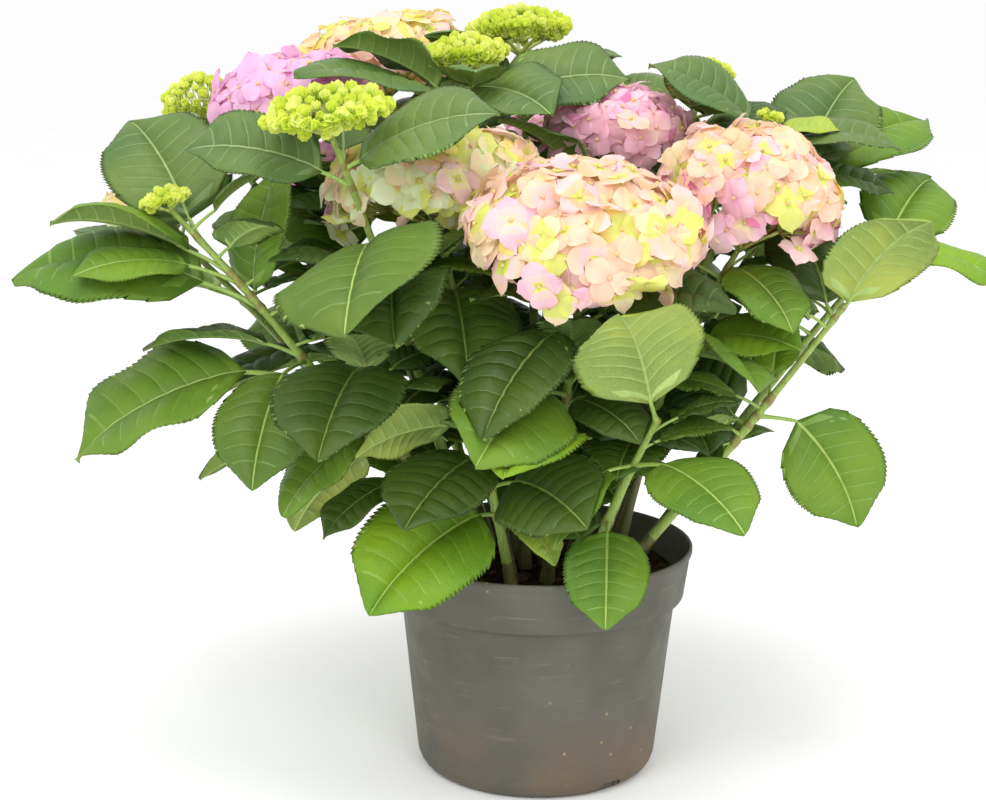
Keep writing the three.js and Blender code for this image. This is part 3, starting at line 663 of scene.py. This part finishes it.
def dome_places(head, count, lowest):
    """Places and facings evenly over a head's dome, and how high each sits, from -1 to 1."""
    around = spread(count, lowest)
    flat = np.array([1, 1, head.flat])
    turn = turned_to(head.axis).T
    places = around * flat * head.radius @ turn + head.centre
    normals = around / flat
    normals = normals / np.linalg.norm(normals, axis=1)[:, None] @ turn
    return places, normals, around[:, 2]


def add_rays(skin, head, ends, hubs, thick):
    """Stalks from the fork to the florets, by way of a few thicker rays."""
    turn = turned_to(head.axis)
    start = head.tip - head.axis * 3
    tops = []
    for ray in range(hubs):
        angle = tau * ray / hubs + 0.4
        level = np.array([cos(angle), sin(angle), -head.flat]) * 0.42
        top = turn @ (level * head.radius) + head.centre
        knee = lerp(start, top, 0.5) + head.axis * 1.5
        path = bend(start, knee, top, np.linspace(0, 1, 5))
        tube(skin, path, np.linspace(thick, thick * 0.7, 5), 7, "ray")
        tops.append(top)
    thin = [thick * share for share in (0.42, 0.36, 0.32, 0.3)]
    for end in ends:
        top = tops[np.linalg.norm(np.array(tops) - end, axis=1).argmin()]
        knee = lerp(top, end, 0.45) - head.axis * 0.02 * head.radius
        tube(skin, bend(top, knee, end, np.linspace(0, 1, 4)), thin, 4, "ray")


def add_mophead(skin, rays, shoot, rng):
    head = shoot.head
    size = lerp(*MOPHEAD.floret, min(1, (head.radius - 36) / 40))
    area = (1.3 + 1.4 * head.flat) * pi * head.radius ** 2
    shoulder, rim = MOPHEAD.zones
    bases = []
    for place, normal, level in zip(*dome_places(head, int(area / size ** 2), MOPHEAD.lowest)):
        zone = PALETTES[shoot.name][0 if level > shoulder else 1 if level > rim else 2]
        tint = zone[int(rng.integers(len(zone)))]
        low = np.clip((0.1 - level) / 0.5, 0, 1)
        if rng.random() < MOPHEAD.thinned * low:
            continue
        facing = unit(normal + rng.normal(0, 0.3 + 0.12 * low, 3) + UP * 0.45 * low)
        hang = size * low * rng.uniform(0, 1.3)
        spot = place - normal * size * rng.uniform(0.05, 0.65 + 0.4 * low) - UP * hang
        heart = rng.choice(list("wk" if tint in VIVID else "lyc") + [tint])
        edge = rng.choice(list(EDGES[tint]) + [tint])
        paints = [f"petal_{letter}" for letter in (heart, tint, edge)]
        add_floret(skin, spot, facing, size * rng.uniform(0.88, 1.12), paints, rng)
        bases.append(spot)
    add_rays(rays, head, bases, 6, 1.7)


def add_budhead(skin, rays, shoot, rng):
    head = shoot.head
    size = lerp(*BUDHEAD.bud, min(1, head.radius / 48))
    count = int(2.9 * pi * head.radius ** 2 / (size * 1.7) ** 2)
    lumps = spread(max(6, int(head.radius / 3)), -0.1) @ turned_to(head.axis).T
    bases = []
    for place, normal, _ in zip(*dome_places(head, count, BUDHEAD.lowest)):
        out = place - head.centre
        near = np.clip((lumps @ unit(out)).max(), 0, 1)
        swell = lerp(0.82, 1.0, np.clip((near - 0.9) / 0.1, 0, 1))
        spot = head.centre + out * swell * rng.uniform(0.95, 1.02) - normal * size
        facing = unit(normal + UP * 0.5 + rng.normal(0, 0.25, 3))
        bud = size * rng.uniform(0.75, 1.2)
        add_bud(skin, spot, facing, bud, rng.choice(["bud_a", "bud_b", "bud_c"]), rng)
        bases.append(spot)
    add_rays(rays, head, bases, 5, 1.9 * min(1, head.radius / 40))


# ---- stems

STEM = Sizes(rings=64, sides=12, swell=0.35)


def make_stems(shoots):
    """Stems from the soil to the forks of the heads, swollen and browner at the leaves' nodes."""
    skin = Skin()
    shares = np.linspace(0, 1, STEM.rings)
    for shoot in shoots:
        points = shoot.point(shares)
        length = np.linalg.norm(np.diff(points, axis=0), axis=1).sum()
        nodes = {round(leaf.share, 3) for leaf in shoot.leaves}
        radii, paints = [], []
        for share in shares:
            near = min([abs(share - node) * length for node in nodes] or [99])
            radii.append(shoot.radius(share) * (1 + STEM.swell * exp(-(near / 4) ** 2)))
            # low on each stem: a woody brown, made darker as painted shade under the crown
            paints.append("node" if near < 3 else "wood" if share < shoot.split * 0.55 else "cane")
        tube(skin, points, radii, STEM.sides, paints)
    skin.piece("stems", "cane", [f"cane_{shoot.name}" for shoot in shoots])


# ---- soil

SOIL_RADIUS = POT.lip - POT.wall - 1
SOIL_SIDES, SOIL_RINGS = 96, 26
CRUMBS = Sizes(count=900, largest=6, highest=4, shares=(0.55, 0.3, 0.15))


def soil_height(x, y):
    """The level of the soil's rough top."""
    ripple = 1.2 * sin(x / 5 + y / 7)
    return SOIL_TOP - 2.5 + 2.2 * sin(x / 13) * cos(y / 11) + ripple


def make_soil(rng):
    """The root ball with a rough top."""
    wall = POT.wall
    profile = [(SOIL_RADIUS * share, None) for share in np.linspace(0.02, 1, SOIL_RINGS)]
    profile += [(POT.lip - wall - 1.2, POT.lip_bottom + 3), (POT.body - wall - 0.7, POT.body_top - 1),
                (POT.heel - wall - 0.7, POT.heel_height + 1), (POT.foot - 2, POT.floor + 0.5)]
    points = []
    for radius, level in profile:
        for turn in circle(SOIL_SIDES):
            x, y = radius * cos(turn), radius * sin(turn)
            rough = rng.uniform(-0.7, 0.7) if level is None else 0
            points.append((x, y, soil_height(x, y) + rough if level is None else level))
    skin = Skin()
    skin.add(points, ring_faces(len(profile), SOIL_SIDES, downward=True), "soil")
    skin.piece("root_ball_soil", "soil", ["root_ball"])


def make_crumbs(rng):
    """Crumbs of bark and peat on the soil."""
    skin = Skin()
    vary = rng.uniform
    for _ in range(CRUMBS.count):
        radius = (SOIL_RADIUS - 5) * sqrt(vary())
        turn = vary(0, tau)
        x, y = radius * cos(turn), radius * sin(turn)
        size = min(rng.gamma(2.5, 0.9) + 0.9, CRUMBS.largest)
        shape = [vary(0.6, 1.5), vary(0.5, 1.1), vary(0.35, 0.8)]
        shape = np.array(shape) * size
        rough = BALL_POINTS * vary(0.8, 1.2, (len(BALL_POINTS), 1))
        points = (rough * shape) @ spun(vary(0, 6.28)).T
        points += [x, y, soil_height(x, y) + shape[2] * 0.3]
        points[:, 2] = np.minimum(points[:, 2], SOIL_TOP + CRUMBS.highest)
        paint = rng.choice(["crumb_a", "crumb_b", "crumb_c"], p=CRUMBS.shares)
        skin.add(points, BALL_FACES, paint)
    skin.piece("soil_crumbs", "soil")


# ---- pot

POT_SIDES = 160


def pot_profile():
    """The pot's section, outside from the foot up and inside down again, with soft corners."""
    foot, heel, body, lip, rim = POT.foot, POT.heel, POT.body, POT.lip, POT.rim
    wall, floor, top = POT.wall, POT.floor, POT.height
    heel_top, body_top, lip_low = POT.heel_height, POT.body_top, POT.lip_bottom
    return [
        (0, 1.2), (foot - 16, 1.2), (foot - 13, 0), (foot - 1.5, 0), (foot, 0.5),
        (heel - 4, 4), (heel - 2, 7), (heel - 0.3, 12), (heel, heel_top),
        (lerp(heel, body, 0.33), 54), (lerp(heel, body, 0.66), 95),
        (body - 0.4, body_top - 4), (body, body_top - 0.8), (body + 0.6, body_top),
        (body + 3, body_top + 1.4), (lip - 1, lip_low - 1), (lip, lip_low + 0.6),
        (lip + 0.4, lip_low + 4), (rim - 1.9, top - 9), (rim - 1.5, top - 6.4),
        (rim - 0.4, top - 5.4), (rim, top - 4), (rim, top - 1.4), (rim - 0.5, top - 0.4),
        (rim - 1.4, top), (rim - wall, top - 0.4), (rim - wall - 0.6, top - 2),
        (lip - wall, lip_low + wall), (body - wall, body_top), (heel - wall, heel_top),
        (foot - 2, floor), (0, floor),
    ]


def notch_cutter(number):
    """One drain slot through the heel, as a rounded block."""
    shape = bmesh.new()
    bmesh.ops.create_cube(shape, size=1)
    block = (NOTCH.depth * MM, NOTCH.width * MM, NOTCH.height * 2 * MM)
    bmesh.ops.scale(shape, vec=block, verts=shape.verts)
    bmesh.ops.bevel(shape, geom=shape.edges[:], offset=2.2 * MM, segments=3, affect="EDGES")
    mesh = bpy.data.meshes.new("cutter")
    shape.to_mesh(mesh)
    shape.free()
    cutter = placed("cutter", mesh)
    turn = Matrix.Rotation(radians(NOTCH.first + number * 360 / NOTCH.count), 4, "Z")
    out = (POT.foot + NOTCH.depth / 2) * MM
    cutter.matrix_world = turn @ Matrix.Translation((out, 0, 0))
    return cutter


def make_pot():
    (_, under), *profile, (_, floor) = pot_profile()
    points = [(radius * cos(turn), radius * sin(turn), z)
              for radius, z in profile for turn in circle(POT_SIDES)]
    points += [(0, 0, under), (0, 0, floor)]
    faces = ring_faces(len(profile), POT_SIDES)[:-2]
    centre, inside = len(profile) * POT_SIDES, (len(profile) - 1) * POT_SIDES
    for step in range(POT_SIDES):
        after = (step + 1) % POT_SIDES
        faces += [[centre, after, step], [centre + 1, inside + step, inside + after]]
    skin = Skin()
    skin.add(points, faces, "pot_plastic")
    pot = skin.piece("pot_shell", "pot", ["pot"])
    cutters = [notch_cutter(number) for number in range(NOTCH.count)]
    for cutter in cutters:
        cut = pot.modifiers.new("slot", "BOOLEAN")
        cut.operation, cut.object, cut.solver = "DIFFERENCE", cutter, "EXACT"
    bpy.context.view_layer.update()
    whole = pot.evaluated_get(bpy.context.evaluated_depsgraph_get())
    cut_mesh = bpy.data.meshes.new_from_object(whole)
    pot.modifiers.clear()
    pot.data = cut_mesh
    cut_mesh.set_sharp_from_angle(angle=radians(50))
    for cutter in cutters:
        bpy.data.objects.remove(cutter)


# ---- finishes


def tone(code):
    """A colour code as a shader's linear colour."""
    parts = [part / 255 for part in bytes.fromhex(code)]
    return (*(p / 12.92 if p <= 0.04045 else ((p + 0.055) / 1.055) ** 2.4 for p in parts), 1)


class Finish:
    """A procedural material: a Principled shader and the nodes that feed it."""

    def __init__(self, name, roughness=0.5, gloss=0.5):
        self.material = bpy.data.materials.new(name)
        self.material.use_nodes = True
        self.tree = self.material.node_tree
        self.tree.nodes.clear()
        self.shader = self.put("BsdfPrincipled", 0, Roughness=roughness).node
        self.shader.inputs["Specular IOR Level"].default_value = gloss
        self.surface = self.tree.nodes.new("ShaderNodeOutputMaterial").inputs["Surface"]
        self.feed(self.shader.outputs[0], self.surface)
        self.where = self.put("TexCoord", "Object")

    def feed(self, value, socket):
        """Joins another node's output to a socket, or sets the socket to a plain value."""
        if isinstance(value, bpy.types.NodeSocket):
            self.tree.links.new(value, socket)
        else:
            socket.default_value = value

    def put(self, kind, output, *values, **named):
        """Adds a node, feeds its first inputs and those that are named, and gives an output."""
        node = self.tree.nodes.new(f"ShaderNode{kind}")
        for number, value in enumerate(values):
            self.feed(value, node.inputs[number])
        for name, value in named.items():
            self.feed(value, node.inputs[name.replace("_", " ")])
        return node.outputs[output]

    def stretched(self, scale):
        return self.put("Mapping", 0, Vector=self.where, Scale=scale)

    def noise(self, scale, detail=3, rough=0.55, where=None):
        where = where or self.where
        return self.put("TexNoise", "Fac", Vector=where, Scale=scale, Detail=detail, Roughness=rough)

    def cells(self, scale, feature="F1", where=None):
        distance = self.put("TexVoronoi", "Distance", Vector=where or self.where, Scale=scale)
        distance.node.feature = feature
        return distance.node.outputs["Distance"]

    def ranged(self, value, low, high, to_low=0.0, to_high=1.0):
        limits = {"From_Min": low, "From_Max": high, "To_Min": to_low, "To_Max": to_high}
        return self.put("MapRange", "Result", Value=value, **limits)

    def times(self, one, two):
        result = self.put("Math", 0, one, two)
        result.node.operation = "MULTIPLY"
        return result

    def mixed(self, share, one, two):
        """Colour one turning to colour two as share goes from 0 to 1."""
        node = self.put("Mix", 0, share).node
        node.data_type = "RGBA"
        self.feed(one, node.inputs[6])
        self.feed(two, node.inputs[7])
        return node.outputs[2]

    def drift(self, scale, detail, one, two, edges=(0.3, 0.7), rough=0.55):
        """Two colours in soft patches."""
        return self.mixed(self.ranged(self.noise(scale, detail, rough), *edges), one, two)

    def colour(self, value):
        self.feed(value, self.shader.inputs["Base Color"])

    def roughness(self, value):
        self.feed(value, self.shader.inputs["Roughness"])

    def bump(self, value, depth, strength):
        """Relief of a depth in millimetres, on top of the relief that is there."""
        above = self.shader.inputs["Normal"]
        under = {"Normal": above.links[0].from_socket} if above.links else {}
        relief = {"Strength": strength, "Distance": depth * MM, "Height": value, **under}
        self.feed(self.put("Bump", 0, **relief), above)

    def let_through(self, colour, share):
        """Light that comes through a thin petal."""
        through = self.put("BsdfTranslucent", 0, Color=colour)
        self.feed(self.put("MixShader", 0, share, self.shader.outputs[0], through), self.surface)


def shade(colour, *by):
    """A colour with its parts made stronger or weaker, all alike or each by its own share."""
    return (*(min(1.0, part * share) for part, share in zip(colour[:3], by * 3)), 1)


def leaf_finish(name, main, roughness, net):
    """A leaf's skin: drifting green, a net of fine veins, and a leathery relief."""
    look = Finish(name, roughness, gloss=0.25)
    cool, warm = shade(main, 0.72, 0.84, 0.95), shade(main, 1.3, 1.18, 1.02)
    base = look.drift(14, 3, cool, warm, (0.36, 0.66))
    mesh = look.cells(430, "DISTANCE_TO_EDGE")
    pale = (main[0] * 1.5 + 0.02, main[1] * 1.3 + 0.02, main[2] * 1.3 + 0.01, 1)
    look.colour(look.mixed(look.ranged(mesh, 0.02, 0.16, net, 0), base, pale))
    look.bump(mesh, 0.35, 0.5)
    look.bump(look.noise(170), 1.4, 0.55)
    look.roughness(look.ranged(look.noise(60, 2), 0.3, 0.7, roughness - 0.06, roughness + 0.1))
    return look.material


def vein_finish(name, main):
    look = Finish(name)
    look.colour(look.drift(120, 2, shade(main, 0.88), shade(main, 1.12)))
    look.bump(look.noise(700, 2), 0.1, 0.4)
    return look.material


def petal_finish(name, main, blush):
    """A sepal: a soft drift between two near tints, a fine relief, and light coming through."""
    look = Finish(name, 0.55, gloss=0.3)
    base = look.drift(75, 3, main, blush, (0.36, 0.66), 0.5)
    look.colour(base)
    look.bump(look.noise(260), 0.5, 0.35)
    look.let_through(base, 0.45)
    return look.material


def stem_finish(name, main, fleck, streak=0.35):
    """A stem's skin: long streaks and small corky flecks."""
    look = Finish(name)
    grain = look.ranged(look.noise(1, where=look.stretched((420, 420, 40))), 0.35, 0.7)
    base = look.mixed(grain, shade(main, 1 - streak * 0.5), shade(main, 1 + streak * 0.5))
    spots = look.cells(1, where=look.stretched((380, 380, 130)))
    look.colour(look.mixed(look.ranged(spots, 0.1, 0.24, 0.8, 0), base, fleck))
    look.bump(look.noise(1, 2, where=look.stretched((520, 520, 60))), 0.3, 0.5)
    return look.material


def earth_finish(name, dark, light):
    look = Finish(name, 0.95, gloss=0.2)
    look.colour(look.drift(300, 4, dark, light, (0.38, 0.66), 0.65))
    look.bump(look.noise(700, 4, 0.7), 0.8, 0.8)
    return look.material


def pot_finish(name, dark, light, rust, scuffed, fleck):
    """Matt grey recycled plastic: rust-brown stains low down, dust, flecks and scuffs."""
    look = Finish(name, 0.55, gloss=0.4)
    grey = look.drift(9, 4, dark, light, (0.35, 0.7))
    height = look.put("SeparateXYZ", "Z", look.where)
    low = look.ranged(height, 0.005, 0.085, 1, 0)
    stain = look.times(low, look.ranged(look.noise(16, 5, 0.6), 0.38, 0.68))
    stained = look.mixed(stain, grey, rust)
    scuffs = look.noise(1, 4, 0.7, where=look.stretched((22, 22, 300)))
    worn = look.mixed(look.ranged(scuffs, 0.6, 0.74, 0, 0.3), stained, scuffed)
    places = look.ranged(look.noise(12, 1), 0.56, 0.6)
    flecks = look.times(look.ranged(look.cells(62), 0.05, 0.1, 0.85, 0), places)
    look.colour(look.mixed(flecks, worn, fleck))
    look.roughness(look.ranged(look.noise(45, 4), 0.3, 0.7, 0.46, 0.68))
    look.bump(look.noise(1500, 2), 0.06, 0.5)
    look.bump(scuffs, 0.12, 0.4)
    return look.material


# A leaf's colour, its veins' and its midrib's.
LEAF_TONES = {
    # b: dark green with a painted sheen from the top light, for leaves high up
    "b": ("526b32", "607b3f", "889e60"),
    "v": ("4c6822", "5c7a2e", "94ae54"),
    "d": ("3a521a", "496226", "7e9848"),
    "m": ("5a7c24", "6a8c30", "98b056"),
    "g": ("688e1c", "769b2a", "a0bc54"),
    "y": ("8ea23a", "9aae4c", "b2c268"),
}
# The two tints that a sepal drifts between.
PETAL_TONES = {
    "p": ("f8d4ba", "fadec6"), "a": ("f8cca2", "f8d8b2"), "c": ("f8ecbe", "f8e4c2"),
    "b": ("f0e67a", "f6e294"), "y": ("e2ea78", "eaee92"), "l": ("d4e464", "e2ea7e"),
    "g": ("ecf6ca", "f2f6d4"), "k": ("fad4da", "fadcd2"), "r": ("fac6dc", "fcd4e4"),
    # o: a pink lightened as painted light, for the shaded middle head
    "o": ("ffd8e6", "ffcee0"), "h": ("f290be", "f6a8ce"), "v": ("f6c4e6", "fad4ec"),
    "w": ("fad0ee", "f6c0e4"),
}
# Each paint's rule, its name, and what the rule is told: colours, then numbers.
RULES = [
    (leaf_finish, "under_pale", "8c9e4e", 0.7, 0.3),
    (leaf_finish, "under_dull", "78944c", 0.7, 0.3),
    (vein_finish, "rib", "9cb464"),
    (stem_finish, "petiole", "92b054", "788c3c", 0.2),
    (stem_finish, "ray", "bac468", "9e8054", 0.2),
    (stem_finish, "cane", "8ca44c", "705234"),
    (stem_finish, "node", "868444", "68422c"),
    # the low stems' woody brown, darkened as painted shade under the crown
    (stem_finish, "wood", "686838", "543c28", 0.5),
    (petal_finish, "eye", "ece296", "f0c8aa"),
    (petal_finish, "bud_a", "e4ec64", "ecf27a"),
    (petal_finish, "bud_b", "d6e452", "e2ec68"),
    (petal_finish, "bud_c", "f0f596", "e8ee78"),
    (petal_finish, "bud_heart", "c4dc40", "d4e854"),
    (earth_finish, "soil", "221812", "422e21"),
    (earth_finish, "crumb_a", "281c14", "4a3426"),
    (earth_finish, "crumb_b", "4a3424", "74543c"),
    (earth_finish, "crumb_c", "1a1410", "34281e"),
    (pot_finish, "pot_plastic", "4c4b42", "5e5d53", "6a563e", "8e8a82", "a88a60"),
]
for letter, (blade, vein, midrib) in LEAF_TONES.items():
    RULES += [(leaf_finish, f"leaf_{letter}", blade, 0.46 if letter in "bvd" else 0.52, 0.16),
              (vein_finish, f"vein_{letter}", vein), (vein_finish, f"midrib_{letter}", midrib)]
RULES += [(petal_finish, f"petal_{letter}", *tints) for letter, tints in PETAL_TONES.items()]
PAINTS = {}
for rule, name, *told in RULES:
    PAINTS[name] = rule(name, *(tone(part) if isinstance(part, str) else part for part in told))


# ---- the shrub


def make_leaves(shoots, spare):
    """All blades, a few shoots to a piece, and their stalks in a piece of their own."""
    rng = np.random.default_rng(SEEDS.leaves)
    stalks = Skin()
    skin, nodes, number = Skin(), [], 1
    for shoot in shoots:
        blades = [(leaf, FINE_BLADE) for leaf in shoot.leaves]
        blades += [(leaf, PLAIN_BLADE) for leaf in spare if leaf.shoot is shoot]
        for leaf, grid in blades:
            add_blade(skin, leaf, grid, rng)
            add_petiole(stalks, leaf)
        nodes.append(f"foliage_{shoot.name}")
        if skin.triangles() > PIECE_TRIANGLES or shoot is shoots[-1]:
            skin.piece(f"leaves_{number}", "leaf", nodes)
            skin, nodes, number = Skin(), [], number + 1
    stalks.piece("leaf_stalks", "cane")


def make_flowers(shoots):
    rng = np.random.default_rng(SEEDS.flowers)
    rays = Skin()
    for tint in ("peach", "cream", "pink", "lilac", "lime"):
        skin, nodes = Skin(), []
        for shoot in [shoot for shoot in shoots if shoot.head and shoot.head.tint == tint]:
            build = add_budhead if tint == "lime" else add_mophead
            build(skin, rays, shoot, rng)
            if shoot.head.radius >= SMALL_HEAD:
                nodes.append(f"bloom_{shoot.name}")
        skin.piece(f"flowers_{tint}", tint, nodes)
    rays.piece("flower_stalks", "cane")


# ---- studio

FLOOR = 60  # half a side of the floor, in metres


def area_light(name, place, height, size, power):
    """A round lamp that looks at a height on the pot's axis."""
    lamp = bpy.data.lights.new(name, "AREA")
    lamp.shape, lamp.size, lamp.energy = "DISK", size, power
    light = placed(name, lamp)
    light.location = place
    aim = Vector((0, 0, height)) - Vector(place)
    light.rotation_euler = aim.to_track_quat("-Z", "Y").to_euler()


def make_studio():
    floor_mesh = bpy.data.meshes.new("floor")
    corners = [(-FLOOR, -FLOOR, 0), (FLOOR, -FLOOR, 0), (FLOOR, FLOOR, 0), (-FLOOR, FLOOR, 0)]
    floor_mesh.from_pydata(corners, [], [(0, 1, 2, 3)])
    paper = Finish("floor_paper", 0.9, gloss=0)
    paper.colour(paper.mixed(paper.noise(3, 2), tone("f6f6f6"), tone("fafafa")))
    floor_mesh.materials.append(paper.material)
    floor = placed("floor", floor_mesh)
    world = bpy.data.worlds.new("studio")
    world.use_nodes = True
    sky = world.node_tree.nodes["Background"]
    sky.inputs["Color"].default_value = (1, 1, 1, 1)
    sky.inputs["Strength"].default_value = 1.04
    bpy.context.scene.world = world
    area_light("key", (-0.9, -1.9, 1.9), 0.35, 1.4, 20)
    area_light("fill", (0.5, -2.2, 1.3), 0.4, 1.4, 15)
    area_light("top", (0.1, -0.35, 2.3), 0.4, 1.6, 22)
    bpy.context.scene.view_settings.view_transform = "Standard"


def make_camera():
    """The view: about 12 degrees down from the front, on a long lens."""
    lens = bpy.data.cameras.new("camera")
    lens.lens, lens.sensor_width, lens.sensor_fit = 73.75, 36, "HORIZONTAL"
    camera = placed("camera", lens)
    view = Matrix.Translation((0, -1.52, 0.619))
    for angle, axis in ((1.37, "Z"), (77.8, "X"), (0.46, "Z")):
        view = view @ Matrix.Rotation(radians(angle), 4, axis)
    camera.matrix_world = view
    bpy.context.scene.camera = camera


make_camera()
make_studio()
shoots = grow()
spare = spare_leaves(shoots, np.random.default_rng(SEEDS.spare))
print(f"leaves grown: {sum(len(shoot.leaves) for shoot in shoots)}, more: {len(spare)}")
make_leaves(shoots, spare)
make_stems(shoots)
make_flowers(shoots)
rng = np.random.default_rng(SEEDS.soil)
make_soil(rng)
make_crumbs(rng)
make_pot()
